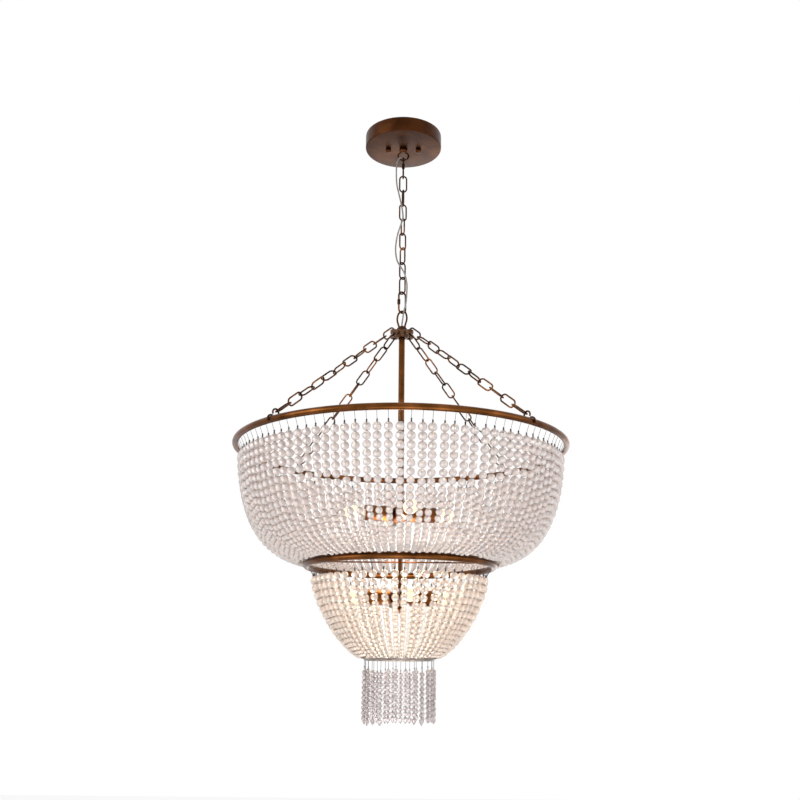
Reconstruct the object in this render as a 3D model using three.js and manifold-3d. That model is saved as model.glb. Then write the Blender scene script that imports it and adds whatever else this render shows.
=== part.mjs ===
// A two-tier beaded chandelier: a round canopy, a chain, a hub with four arm chains, a tube ring that
// carries a bowl of bead strands, a smaller ring with a second bowl, and a fringe of crystals below.
// Lengths are millimetres and angles degrees. The ceiling is the plane z = 0, and +Z points up.
import * as THREE from "three";
import { mergeVertices } from "three/addons/utils/BufferGeometryUtils.js";
import Module from "manifold-3d";

const wasm = await Module();
wasm.setup();

// Fits shared by all pieces
const clearance = 0.3;
const overrun = 1;
const weldDepth = 0.4;
const mergeDistance = 0.001;

// Ceiling end
const canopy = { diameter: 150, height: 28, wall: 1.6, edge: 2.4, segments: 24 };
const crossbar = {
  length: 112,
  width: 20,
  thickness: 2.5,
  hole: 11.4,
  slotLength: 8,
  slotWidth: 5,
};
const nipple = { diameter: 10, bore: 6, length: 32, nutWidth: 15, nutHeight: 4, sides: 10 };
const screw = { spacing: 60, diameter: 4, knobDiameter: 11, knobHeight: 7, sides: 8 };
const canopyLoop = { width: 24, drop: 26, wire: 3.5, collarDiameter: 16, collarHeight: 7.2, steps: 14 };

// Main chain
const link = { length: 37, width: 16.5, wire: 3, bendSteps: 3, sides: 5 };
const quickLink = { length: 46, width: 19, wire: 3.5, gap: 5, sides: 5, bendSteps: 5, steps: 24 };
const sleeve = { length: 10, diameter: 6.6, sides: 8 };
// How far the two quick links, the plain links between them and the hub loop are turned about the vertical
const upperQuickLinkTurn = 90;
const linkTurns = [5, 100, 20, 115, 35, 130, 40, 140];
const quickLinkTurn = 35;
const hubLoopTurn = -25;

// Hub and stem
const hubLoop = { width: 23.3, height: 30, foot: 11, wire: 3.5, domeDiameter: 20, domeHeight: 9, steps: 14 };
const hub = {
  coreDiameter: 27,
  height: 15,
  lugReach: 19.5,
  lugDiameter: 16,
  lugHole: 6.4,
  lugHeight: 7.4,
  bevel: 1.2,
  sides: 10,
  lugSides: 8,
};
const cord = { diameter: 3, bore: 3.8, sides: 8, steps: 48 };
const stem = { diameter: 11.5, bore: 7, lowerDiameter: 7, socketDepth: 9, sides: 12 };

// Rings
const topRing = { radius: 299, tube: 11.5, belowHub: 221.95, segments: 40, sides: 6 };
const middleRing = { radius: 165.7, tube: 11.5, belowTopRing: 212.8, segments: 32, sides: 6 };
const bottomRing = { radius: 60, wire: 2.4, belowMiddleRing: 160 };
const crossRod = { diameter: 3, sides: 6 };
const hook = {
  wire: 3,
  curlRadius: 6,
  returnRadius: 5,
  shank: 5,
  saddleAngles: [-30, 140],
  returnAngles: [-80, -180],
  curlAngles: [180, -30],
  sides: 4,
  steps: 12,
};
const armChain = { count: 4, firstAngle: 45, lapPitch: 31, bendSteps: 3, sides: 4, turn: 81 };

// Bead strands. bead is the widest bead, lastBead the one next to the tie wire
const upperStrand = {
  count: 104,
  bead: 14,
  lastBead: 7,
  pin: 15.5,
  inset: 10.8,
  tieWire: 2.5,
  stretches: 4,
  firstAngle: 1.3,
  stationShares: [0.78, 0.48, 0.05],
};
const lowerStrand = {
  count: 54,
  bead: 13.4,
  lastBead: 7.4,
  pin: 15,
  inset: 14,
  tieWire: 1.9,
  stretches: 2,
  firstAngle: 90,
  stationShares: [0.9, 0.5, 0.06],
};
const fringe = { count: 26, bead: 9, wireEnd: 20, length: 108 };
const pinDiameter = 1.4;

// Lights
const cluster = { bodyDiameter: 30, bodyHeight: 28, turn: 12, count: 4, sides: 12 };
const upperClusterBelowRing = 119;
const lowerClusterBelowUpper = 148;
const socket = { diameter: 28, length: 50, throat: 13.6, depth: 22, shoulder: 4, sides: 8 };
const bulb = { base: 12.4, diameter: 26, length: 62 };
const finial = { diameter: 12, height: 13, sides: 10 };

const degrees = THREE.MathUtils.degToRad;

// Heights of the main parts, worked down from the ceiling
const collarTop = -canopy.height - clearance;
const collarBottom = collarTop - canopyLoop.collarHeight;
const canopyLoopApex = -canopy.height - canopyLoop.drop + canopyLoop.wire / 2;
const quickLinkSpan = quickLink.length - quickLink.wire;
const upperQuickLinkTop = canopyLoopApex + canopyLoop.wire / 2 + clearance + quickLink.wire / 2;
const linkSpan = link.length - link.wire;
const firstLinkTop = upperQuickLinkTop - quickLinkSpan + quickLink.wire / 2 + clearance + link.wire / 2;
const linkPitch = linkSpan - link.wire - clearance;
const lastLinkBottom = firstLinkTop - linkPitch * (linkTurns.length - 1) - linkSpan;
const quickLinkTop = lastLinkBottom + link.wire / 2 + clearance + quickLink.wire / 2;
const quickLinkBottom = quickLinkTop - quickLinkSpan;
const hubLoopApex = quickLinkBottom + quickLink.wire / 2 + clearance + hubLoop.wire / 2;
const domeTop = hubLoopApex - hubLoop.height;
const domeBottom = domeTop - hubLoop.domeHeight;
const hubTop = domeBottom - clearance;
const hubBottom = hubTop - hub.height;
const lugCentre = hubTop - hub.height / 2;
const topRingHeight = lugCentre - topRing.belowHub;
const middleRingHeight = topRingHeight - middleRing.belowTopRing;
const bottomRingHeight = middleRingHeight - bottomRing.belowMiddleRing;
const upperClusterHeight = topRingHeight - upperClusterBelowRing;
const lowerClusterHeight = upperClusterHeight - lowerClusterBelowUpper;

// Finishes
const finish = (color, metalness, roughness) =>
  new THREE.MeshStandardMaterial({ color, metalness, roughness });
const bronze = finish(0x6b4526, 0.8, 0.45);
const darkBronze = finish(0x3d261a, 0.7, 0.5);
const zincSteel = finish(0xb9bcc0, 0.9, 0.4);
const clearJacket = finish(0xb8b4b0, 0.3, 0.3);
const frostedGlass = finish(0xded6d3, 0, 0.35);
const creamGlass = finish(0xf0ddc4, 0, 0.3);
const clearCrystal = finish(0xcfcaca, 0, 0.1);
const bulbGlass = finish(0xfff0d0, 0, 0.2);

// Solids and meshes

function toSolid(geometry) {
  const bare = geometry.index ? geometry.toNonIndexed() : geometry.clone();
  bare.deleteAttribute("normal");
  bare.deleteAttribute("uv");
  const merged = mergeVertices(bare, mergeDistance);
  const vertProperties = merged.attributes.position.array;
  const triVerts = new Uint32Array(merged.index.array);
  return new wasm.Manifold(new wasm.Mesh({ numProp: 3, vertProperties, triVerts }));
}

function toGeometry(solid) {
  const { vertProperties, triVerts } = solid.getMesh();
  return new THREE.BufferGeometry()
    .setAttribute("position", new THREE.BufferAttribute(vertProperties, 3))
    .setIndex(new THREE.BufferAttribute(triVerts, 1));
}

function join(...geometries) {
  return toGeometry(geometries.map(toSolid).reduce((whole, next) => whole.add(next)));
}

function cut(geometry, ...cutters) {
  return toGeometry(cutters.map(toSolid).reduce((left, cutter) => left.subtract(cutter), toSolid(geometry)));
}

function piece(name, geometry, material) {
  const mesh = new THREE.Mesh(geometry, material);
  mesh.name = name;
  return mesh;
}

// A solid of revolution about Z from [radius, height] pairs that run upwards along its outside
function turned(profile, segments) {
  const points = profile.map(([radius, height]) => new THREE.Vector2(radius, height));
  return new THREE.LatheGeometry(points, segments).rotateX(Math.PI / 2);
}

// A straight bar along Z between two heights
function bar(radius, bottom, top, sides) {
  return new THREE.CylinderGeometry(radius, radius, top - bottom, sides)
    .rotateX(Math.PI / 2)
    .translate(0, 0, (top + bottom) / 2);
}

function roundSection(radius, sides) {
  const corners = Array.from({ length: sides }, (_, i) => {
    const angle = (2 * Math.PI * (i + 0.5)) / sides;
    return new THREE.Vector2(radius * Math.cos(angle), radius * Math.sin(angle));
  });
  return new THREE.Shape(corners);
}

// An open wire along a smooth curve through the points
function bentWire(points, radius, sides, steps) {
  const extrudePath = new THREE.CatmullRomCurve3(points, false, "centripetal");
  return new THREE.ExtrudeGeometry(roundSection(radius, sides), { steps, extrudePath, bevelEnabled: false });
}

// A wire bent into a closed loop through points of the XZ plane, with mitred corners
function closedWire(points, radius, sides) {
  const positions = [];
  const indices = [];
  const across = new THREE.Vector3(0, 1, 0);
  points.forEach((point, i) => {
    const into = point.clone().sub(points[(i + points.length - 1) % points.length]).normalize();
    const out = points[(i + 1) % points.length].clone().sub(point).normalize();
    const along = into.clone().add(out).normalize();
    const outward = along.clone().cross(across);
    const mitre = radius / along.dot(out);
    for (let side = 0; side < sides; side += 1) {
      const angle = (2 * Math.PI * side) / sides;
      const corner = point.clone();
      corner.addScaledVector(outward, mitre * Math.cos(angle));
      corner.addScaledVector(across, radius * Math.sin(angle));
      positions.push(...corner.toArray());
      const here = i * sides;
      const next = ((i + 1) % points.length) * sides;
      const turn = (side + 1) % sides;
      indices.push(here + side, next + side, here + turn);
      indices.push(here + turn, next + side, next + turn);
    }
  });
  const loop = new THREE.BufferGeometry();
  loop.setAttribute("position", new THREE.Float32BufferAttribute(positions, 3));
  loop.setIndex(indices);
  return loop;
}

// Points of a long loop in the XZ plane. Its ends, at z = 0 and z = -span, are half circles
function linkPoints(span, width, bendSteps) {
  const bend = width / 2;
  const reach = bendSteps % 2 ? bend / Math.cos(Math.PI / (2 * bendSteps)) : bend;
  const end = (centre, from) =>
    Array.from({ length: bendSteps + 1 }, (_, i) => {
      const angle = from + (Math.PI * i) / bendSteps;
      return new THREE.Vector3(bend * Math.cos(angle), 0, centre + reach * Math.sin(angle));
    });
  return [...end(-bend, 0), ...end(bend - span, Math.PI)];
}

function chainLink(length, width, wire, bendSteps, sides) {
  return closedWire(linkPoints(length - wire, width - wire, bendSteps), wire / 2, sides);
}

// Ceiling end

function makeCrossbar() {
  const end = crossbar.width / 2;
  const straight = crossbar.length / 2 - end;
  const outline = new THREE.Shape();
  outline.absarc(straight, 0, end, -Math.PI / 2, Math.PI / 2, false);
  outline.absarc(-straight, 0, end, Math.PI / 2, (3 * Math.PI) / 2, false);
  const hole = (x, radius) => new THREE.Path().absarc(x, 0, radius, 0, 2 * Math.PI, true);
  outline.holes.push(hole(0, crossbar.hole / 2));
  const stud = screw.spacing / 2;
  const studHole = screw.diameter / 2 + clearance;
  for (const side of [-1, 1]) {
    outline.holes.push(hole(side * stud, studHole));
    const slot = new THREE.Path();
    const centre = (side * (stud + studHole + crossbar.length / 2)) / 2;
    const half = (crossbar.slotLength - crossbar.slotWidth) / 2;
    slot.absarc(centre + half, 0, crossbar.slotWidth / 2, -Math.PI / 2, Math.PI / 2, false);
    slot.absarc(centre - half, 0, crossbar.slotWidth / 2, Math.PI / 2, (3 * Math.PI) / 2, false);
    outline.holes.push(slot);
  }
  const options = { depth: crossbar.thickness, bevelEnabled: false, curveSegments: 4 };
  return new THREE.ExtrudeGeometry(outline, options).translate(0, 0, -crossbar.thickness);
}

function makeCanopy() {
  const { height, wall, edge } = canopy;
  const outer = canopy.diameter / 2;
  const hole = nipple.diameter / 2 + clearance;
  const shell = turned(
    [
      [hole, -height],
      [outer - edge, -height],
      [outer, -height + edge],
      [outer, 0],
      [outer - wall, 0],
      [outer - wall, -height + wall],
      [hole, -height + wall],
      [hole, -height],
    ],
    canopy.segments,
  );
  const screwHole = bar(
    screw.diameter / 2 + clearance,
    -height - overrun,
    -height + wall + overrun,
    screw.sides,
  );
  const offsets = [-screw.spacing / 2, screw.spacing / 2];
  return cut(shell, ...offsets.map((x) => screwHole.clone().translate(x, 0, 0)));
}

// A threaded tube with its locknut under the crossbar
function makeNipple() {
  const outer = nipple.diameter / 2;
  const bore = nipple.bore / 2;
  const top = -clearance;
  const bottom = top - nipple.length;
  const tube = turned(
    [
      [bore, bottom],
      [outer, bottom],
      [outer, top],
      [bore, top],
      [bore, bottom],
    ],
    nipple.sides,
  );
  const nutTop = -crossbar.thickness - clearance;
  const nut = turned(
    [
      [(bore + outer) / 2, nutTop - nipple.nutHeight],
      [nipple.nutWidth / 2, nutTop - nipple.nutHeight],
      [nipple.nutWidth / 2, nutTop],
      [(bore + outer) / 2, nutTop],
      [(bore + outer) / 2, nutTop - nipple.nutHeight],
    ],
    6,
  );
  return join(tube, nut);
}

// A stud through the crossbar and the canopy, with the round knob that holds the canopy up
function makeScrew() {
  const stud = screw.diameter / 2;
  const knob = screw.knobDiameter / 2;
  const knobTop = -canopy.height - clearance;
  const knobBottom = knobTop - screw.knobHeight;
  return turned(
    [
      [0, knobBottom],
      [knob * 0.6, knobBottom + screw.knobHeight * 0.08],
      [knob, knobBottom + screw.knobHeight * 0.4],
      [knob, knobTop - screw.knobHeight * 0.15],
      [knob * 0.9, knobTop],
      [stud, knobTop],
      [stud, -clearance],
      [0, -clearance],
    ],
    screw.sides,
  );
}

// A screw collar with a cord hole through it, and the oval loop that the chain hangs on
function makeCanopyLoop() {
  const collar = canopyLoop.collarDiameter / 2;
  const thread = nipple.diameter / 2 + clearance;
  const floor = -clearance - nipple.length - clearance;
  const cordHole = cord.bore / 2;
  const body = turned(
    [
      [cordHole, collarBottom],
      [collar * 0.75, collarBottom],
      [collar, collarBottom + canopyLoop.collarHeight * 0.4],
      [collar, collarTop],
      [thread, collarTop],
      [thread, floor],
      [cordHole, floor],
      [cordHole, collarBottom],
    ],
    nipple.sides,
  );
  const wire = canopyLoop.wire / 2;
  const halfWidth = canopyLoop.width / 2 - wire;
  const top = floor - clearance - wire;
  const halfHeight = (top - canopyLoopApex) / 2;
  const foot = cordHole + wire + clearance;
  const start = Math.asin(foot / halfWidth);
  const points = Array.from({ length: canopyLoop.steps + 1 }, (_, i) => {
    const angle = start + ((2 * Math.PI - 2 * start) * i) / canopyLoop.steps;
    const x = halfWidth * Math.sin(angle);
    return new THREE.Vector3(x, 0, top - halfHeight + halfHeight * Math.cos(angle));
  });
  return join(body, bentWire(points, wire, link.sides, canopyLoop.steps));
}

// Quick link: a long oval wire with a gap in its left leg, and the threaded sleeve that closes the gap
function makeQuickLink() {
  const width = quickLink.width - quickLink.wire;
  const around = linkPoints(quickLinkSpan, width, quickLink.bendSteps);
  const turn = quickLink.bendSteps + 1;
  const gapEnd = (side) => new THREE.Vector3(-width / 2, 0, -quickLinkSpan / 2 + (side * quickLink.gap) / 2);
  const points = [gapEnd(-1), ...around.slice(turn), ...around.slice(0, turn), gapEnd(1)];
  const smooth = new THREE.CurvePath();
  for (let i = 1; i < points.length; i += 1) {
    smooth.add(new THREE.LineCurve3(points[i - 1], points[i]));
  }
  const section = roundSection(quickLink.wire / 2, quickLink.sides);
  const { steps } = quickLink;
  return new THREE.ExtrudeGeometry(section, { steps, extrudePath: smooth, bevelEnabled: false });
}

function makeSleeve() {
  const bore = quickLink.wire / 2 + clearance;
  const half = sleeve.length / 2;
  const outer = sleeve.diameter / 2;
  return turned(
    [
      [bore, -half],
      [outer, -half],
      [outer, half],
      [bore, half],
      [bore, -half],
    ],
    sleeve.sides,
  );
}

// Hub

// A pear-shaped loop on a small dome that the cord goes down through
function makeHubLoop() {
  const wire = hubLoop.wire / 2;
  const half = hubLoop.width / 2 - wire;
  const foot = hubLoop.foot / 2;
  const dome = hubLoop.domeDiameter / 2;
  const cordHole = cord.bore / 2;
  const neck = cordHole + wire;
  const body = turned(
    [
      [cordHole, domeBottom],
      [dome, domeBottom],
      [dome, domeBottom + hubLoop.domeHeight * 0.25],
      [dome * 0.8, domeBottom + hubLoop.domeHeight * 0.65],
      [neck, domeTop],
      [cordHole, domeTop],
      [cordHole, domeBottom],
    ],
    nipple.sides,
  );
  const rise = hubLoopApex - domeBottom - hubLoop.domeHeight / 2;
  const right = [
    [foot, 0],
    [foot + (half - foot) * 0.35, rise * 0.2],
    [half * 0.98, rise * 0.47],
    [half * 0.97, rise * 0.68],
    [half * 0.66, rise * 0.91],
  ];
  const base = hubLoopApex - rise;
  const left = right.map(([x, height]) => [-x, height]).reverse();
  const points = [...right, [0, rise], ...left].map(([x, height]) => new THREE.Vector3(x, 0, base + height));
  return join(body, bentWire(points, wire, link.sides, hubLoop.steps));
}

// A round core with four lugs, each with the upright hole that the first link of an arm chain goes through
function makeHub() {
  const core = hub.coreDiameter / 2;
  const cordHole = cord.bore / 2;
  const seat = stem.diameter / 2 + clearance;
  const seatTop = hubBottom + stem.socketDepth;
  const body = turned(
    [
      [seat, hubBottom],
      [core * 0.75, hubBottom],
      [core, hubBottom + hub.height * 0.25],
      [core, hubTop - hub.height * 0.15],
      [core * 0.85, hubTop],
      [cordHole, hubTop],
      [cordHole, seatTop],
      [seat, seatTop],
      [seat, hubBottom],
    ],
    hub.sides,
  );
  const eye = hub.lugHole / 2;
  const rim = hub.lugDiameter / 2;
  const half = hub.lugHeight / 2;
  const lug = turned(
    [
      [eye, -half],
      [rim - hub.bevel, -half],
      [rim, -half + hub.bevel],
      [rim, half - hub.bevel],
      [rim - hub.bevel, half],
      [eye, half],
      [eye, -half],
    ],
    hub.lugSides,
  );
  const lugs = Array.from({ length: armChain.count }, (_, i) => {
    const angle = degrees(armChain.firstAngle + (360 * i) / armChain.count);
    return lug.clone().translate(hub.lugReach, 0, lugCentre).rotateZ(angle);
  });
  return join(body, ...lugs);
}

// Where an arm chain starts in its lug and ends in its hook, as [radius, height] of the wire's centre line
const lugWall = hub.lugReach + hub.lugHole / 2 + (hub.lugDiameter - hub.lugHole) / 4;
const hookShankRadius = topRing.tube / 2 + clearance + hook.wire / 2;
const saddleEnd = degrees(hook.saddleAngles[1]);
const hookReturn = new THREE.Vector2(Math.cos(saddleEnd), Math.sin(saddleEnd)).multiplyScalar(
  hookShankRadius + hook.returnRadius,
);
const curlCentre = new THREE.Vector2(
  hookReturn.x - hook.returnRadius + hook.curlRadius,
  hookReturn.y + hook.shank,
);

// A hook of bent wire that saddles the top ring and curls outwards over the last link
function makeHook() {
  const arc = (centre, radius, [from, to], count) =>
    Array.from({ length: count + 1 }, (_, i) => {
      const angle = degrees(from + ((to - from) * i) / count);
      return new THREE.Vector3(centre.x + radius * Math.cos(angle), 0, centre.y + radius * Math.sin(angle));
    });
  const points = [
    ...arc(new THREE.Vector2(), hookShankRadius, hook.saddleAngles, 6),
    ...arc(hookReturn, hook.returnRadius, hook.returnAngles, 3),
    ...arc(curlCentre, hook.curlRadius, hook.curlAngles, 6),
  ];
  return bentWire(points, hook.wire / 2, hook.sides, hook.steps);
}

// Arm chain: links laid end to end down local -Z, each turned against the last, welded where they touch. The
// last link stands crosswise to the first, whatever their number
function makeArmChain(span) {
  const lap = link.wire - weldDepth;
  const count = Math.round((span - lap) / armChain.lapPitch);
  const pitch = (span - lap) / count;
  const halfTurns = Math.round(((count - 1) * armChain.turn - 90) / 180);
  const turn = degrees(90 + 180 * halfTurns) / (count - 1);
  const links = Array.from({ length: count }, (_, i) => {
    const length = pitch + lap + link.wire;
    const shape = chainLink(length, link.width, link.wire, armChain.bendSteps, armChain.sides);
    return shape.rotateZ(i * turn).translate(0, 0, -i * pitch);
  });
  return join(...links);
}

// Strands

// The outline that a bowl's bead centres follow, from its first bead down to its tie wire
function bowlCurve(top, bottom, topHandleShares, bottomHandleShares) {
  const width = top.x - bottom.x;
  const drop = top.y - bottom.y;
  return new THREE.CubicBezierCurve(
    top,
    new THREE.Vector2(top.x - width * topHandleShares[0], top.y - drop * topHandleShares[1]),
    new THREE.Vector2(bottom.x + width * bottomHandleShares[0], bottom.y + drop * bottomHandleShares[1]),
    bottom,
  );
}

// The three corners of a strand at one station, in [aside, outward] shares of its half width
const cornerShares = [
  [1, 0.6],
  [0, -0.8],
  [-1, 0.6],
];

// Strands grown from a stretch of tie wire. A station is {at, half}: a centre as radius and height, and half
// the strand's width there. The first station is the tie wire's centre and the others lead away from it
function strandRow({ stations, wireRadius, count, firstAngle, stepAngle, closed }) {
  const positions = [];
  const indices = [];
  const corner = (radius, aside, height, angle) => {
    const x = radius * Math.cos(angle) - aside * Math.sin(angle);
    const y = radius * Math.sin(angle) + aside * Math.cos(angle);
    positions.push(x, y, height);
    return positions.length / 3 - 1;
  };
  const face = (...corners) => {
    for (let i = 2; i < corners.length; i += 1) {
      indices.push(corners[0], corners[i - 1], corners[i]);
    }
  };
  const tie = stations[0].at;
  const away = stations[1].at.clone().sub(tie).normalize();
  const outward = new THREE.Vector2(away.y, -away.x);
  const front = tie.clone().addScaledVector(away, wireRadius);
  const back = tie.clone().addScaledVector(away, -wireRadius);
  const edges = [1, -1].map((side) => front.clone().addScaledVector(outward, side * wireRadius));
  edges.push(back);
  const wireAt = (angle) => edges.map((edge) => corner(edge.x, 0, edge.y, angle));
  const strandAt = (at, half, along, angle) => {
    const out = new THREE.Vector2(along.y, -along.x).normalize();
    return cornerShares.map(([aside, depth]) => {
      const edge = at.clone().addScaledVector(out, depth * half);
      return corner(edge.x, aside * half, edge.y, angle);
    });
  };
  const endGap = closed ? 0 : clearance / 2 / tie.x;
  const start = wireAt(firstAngle - stepAngle / 2 + endGap);
  let before = start;
  for (let i = 0; i < count; i += 1) {
    const angle = firstAngle + i * stepAngle;
    const last = i === count - 1;
    const after = closed && last ? start : wireAt(angle + stepAngle / 2 - (last ? endGap : 0));
    const rings = stations.slice(1).map(({ at, half }, k) => {
      const onward = stations[Math.min(k + 2, stations.length - 1)].at;
      return strandAt(at, half, onward.clone().sub(stations[k].at), angle);
    });
    const [foot] = rings;
    face(before[1], after[1], after[2], before[2]);
    face(before[2], after[2], after[0], before[0]);
    face(before[0], after[0], foot[0], foot[2]);
    face(before[1], before[0], foot[2], foot[1]);
    face(after[0], after[1], foot[1], foot[0]);
    face(after[1], before[1], foot[1]);
    for (let k = 1; k < rings.length; k += 1) {
      for (let side = 0; side < 3; side += 1) {
        const turn = (side + 1) % 3;
        face(rings[k - 1][side], rings[k - 1][turn], rings[k][turn], rings[k][side]);
      }
    }
    face(...rings.at(-1));
    before = after;
  }
  if (!closed) {
    face(...start);
    face(before[2], before[1], before[0]);
  }
  const row = new THREE.BufferGeometry();
  row.setAttribute("position", new THREE.Float32BufferAttribute(positions, 3));
  row.setIndex(indices);
  return row;
}

// Stations along a bowl: its tie wire, its beads from the last to the first, and the pin to the ring above
function bowlStations(curve, strand, ring, ringHeight) {
  const pinTop = new THREE.Vector2(-Math.SQRT1_2, -Math.SQRT1_2)
    .multiplyScalar(ring.tube / 2 + clearance + pinDiameter / 2)
    .add(new THREE.Vector2(ring.radius, ringHeight));
  const top = curve.getPoint(0);
  const beads = strand.stationShares.map((share) => ({
    at: curve.getPoint(share),
    half: (strand.lastBead + (strand.bead - strand.lastBead) * (1 - share)) / 2,
  }));
  const pin = [top, pinTop].map((at) => ({ at, half: pinDiameter / 2 }));
  return [{ at: curve.getPoint(1) }, ...beads, ...pin];
}

const upperTie = new THREE.Vector2(Math.SQRT1_2, Math.SQRT1_2)
  .multiplyScalar(middleRing.tube / 2 + clearance + upperStrand.tieWire / 2)
  .add(new THREE.Vector2(middleRing.radius, middleRingHeight));
const upperTop = new THREE.Vector2(
  topRing.radius - upperStrand.inset,
  topRingHeight - topRing.tube / 2 - upperStrand.pin,
);
const upperBowl = bowlCurve(upperTop, upperTie, [0.04, 0.45], [0.77, 0.065]);
const lowerTie = new THREE.Vector2(Math.SQRT1_2, Math.SQRT1_2)
  .multiplyScalar((bottomRing.wire + lowerStrand.tieWire) / 2 + clearance)
  .add(new THREE.Vector2(bottomRing.radius, bottomRingHeight));
const lowerTop = new THREE.Vector2(
  middleRing.radius - lowerStrand.inset,
  middleRingHeight - middleRing.tube / 2 - lowerStrand.pin,
);
const lowerBowl = bowlCurve(lowerTop, lowerTie, [0.028, 0.265], [0.527, 0.147]);

// One stretch of a bowl: a part of the tie wire with its strands
function makeStrands(stations, strand, index) {
  const stepAngle = (2 * Math.PI) / strand.count;
  const count = strand.count / strand.stretches;
  const firstAngle = degrees(strand.firstAngle) + (index * count + 0.5) * stepAngle;
  const wireRadius = strand.tieWire / 2;
  return strandRow({ stations, wireRadius, count, firstAngle, stepAngle, closed: false });
}

// The bottom ring with the crystal strands that hang from it
function makeFringe() {
  const ring = new THREE.Vector2(bottomRing.radius, bottomRingHeight);
  const down = (distance) => new THREE.Vector2(ring.x, ring.y - distance);
  const stations = [
    { at: ring },
    { at: down(fringe.wireEnd), half: pinDiameter / 2 },
    { at: down(fringe.wireEnd + fringe.bead / 2), half: fringe.bead / 2 },
    { at: down(fringe.length), half: pinDiameter / 2 },
  ];
  const { count } = fringe;
  const stepAngle = (2 * Math.PI) / count;
  const wireRadius = bottomRing.wire / 2;
  return strandRow({ stations, wireRadius, count, firstAngle: 0, stepAngle, closed: true });
}

// Stem, lights and finial

const clusterHalf = cluster.bodyHeight / 2;

function makeUpperStem() {
  const outer = stem.diameter / 2;
  const bore = stem.bore / 2;
  const top = hubBottom + stem.socketDepth - clearance;
  const bottom = upperClusterHeight + clusterHalf + clearance;
  return turned(
    [
      [bore, bottom],
      [outer, bottom],
      [outer, top],
      [bore, top],
      [bore, bottom],
    ],
    stem.sides,
  );
}

function makeCrossRod() {
  const half = middleRing.radius;
  return bar(crossRod.diameter / 2, -half, half, crossRod.sides).rotateY(Math.PI / 2);
}

const crossRodHeight = middleRingHeight + middleRing.tube / 2 + clearance + crossRod.diameter / 2;

function makeLowerStem() {
  const top = upperClusterHeight - clusterHalf - clearance;
  const bottom = lowerClusterHeight + clusterHalf + clearance;
  const rod = bar(stem.lowerDiameter / 2, bottom, top, stem.sides);
  const hole = bar(crossRod.diameter / 2 + clearance, -stem.diameter, stem.diameter, crossRod.sides);
  return cut(rod, hole.rotateY(Math.PI / 2).translate(0, 0, crossRodHeight));
}

function makeClusterBody() {
  const radius = cluster.bodyDiameter / 2;
  return turned(
    [
      [0, -clusterHalf],
      [radius * 0.55, -clusterHalf],
      [radius, -clusterHalf * 0.7],
      [radius, clusterHalf * 0.7],
      [radius * 0.55, clusterHalf],
      [0, clusterHalf],
    ],
    cluster.sides,
  );
}

// A socket points along local +X from the side of its cluster body
const socketStart = cluster.bodyDiameter / 2 + clearance;

function makeSocket() {
  const outer = socket.diameter / 2;
  const throat = socket.throat / 2;
  return turned(
    [
      [0, 0],
      [outer * 0.65, 0],
      [outer, socket.shoulder],
      [outer, socket.length],
      [throat, socket.length],
      [throat, socket.length - socket.depth],
      [0, socket.length - socket.depth],
    ],
    socket.sides,
  ).rotateY(Math.PI / 2);
}

function makeBulb() {
  const base = bulb.base / 2;
  const glass = bulb.diameter / 2;
  const { length } = bulb;
  return turned(
    [
      [0, 0],
      [base, 0],
      [base, socket.depth],
      [glass, length * 0.55],
      [glass * 0.85, length * 0.82],
      [0, length],
    ],
    socket.sides,
  ).rotateY(Math.PI / 2);
}

function makeFinial() {
  const radius = finial.diameter / 2;
  const { height } = finial;
  return turned(
    [
      [0, -height],
      [radius * 0.45, -height * 0.9],
      [radius, -height * 0.5],
      [radius * 0.6, -height * 0.2],
      [radius * 0.6, 0],
      [0, 0],
    ],
    finial.sides,
  );
}

// Assembly

const chandelier = new THREE.Group();
chandelier.name = "beaded_chandelier";

function addCeilingEnd() {
  chandelier.add(piece("crossbar", makeCrossbar(), zincSteel));
  chandelier.add(piece("canopy", makeCanopy(), darkBronze));
  chandelier.add(piece("nipple", makeNipple(), zincSteel));
  const left = piece("canopy_screw_left", makeScrew(), darkBronze);
  const right = piece("canopy_screw_right", makeScrew(), darkBronze);
  left.position.x = -screw.spacing / 2;
  right.position.x = screw.spacing / 2;
  chandelier.add(left, right);
  chandelier.add(piece("canopy_loop", makeCanopyLoop(), darkBronze));
}

function addQuickLink(linkName, sleeveName, top, turn) {
  const fastener = new THREE.Group();
  fastener.position.z = top;
  fastener.rotation.z = degrees(turn);
  fastener.add(piece(linkName, makeQuickLink(), darkBronze));
  const nut = piece(sleeveName, makeSleeve(), darkBronze);
  nut.position.set(-(quickLink.width - quickLink.wire) / 2, 0, -quickLinkSpan / 2);
  fastener.add(nut);
  chandelier.add(fastener);
}

// The first link of the chain is a quick link too, so the plain ones count from two
function addMainChain() {
  addQuickLink("chain_link_1", "chain_link_1_sleeve", upperQuickLinkTop, upperQuickLinkTurn);
  linkTurns.forEach((turn, i) => {
    const shape = chainLink(link.length, link.width, link.wire, link.bendSteps, link.sides);
    const mesh = piece(`chain_link_${i + 2}`, shape, darkBronze);
    mesh.position.z = firstLinkTop - i * linkPitch;
    mesh.rotation.z = degrees(turn);
    chandelier.add(mesh);
  });
  addQuickLink("quick_link", "quick_link_sleeve", quickLinkTop, quickLinkTurn);
}

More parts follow.
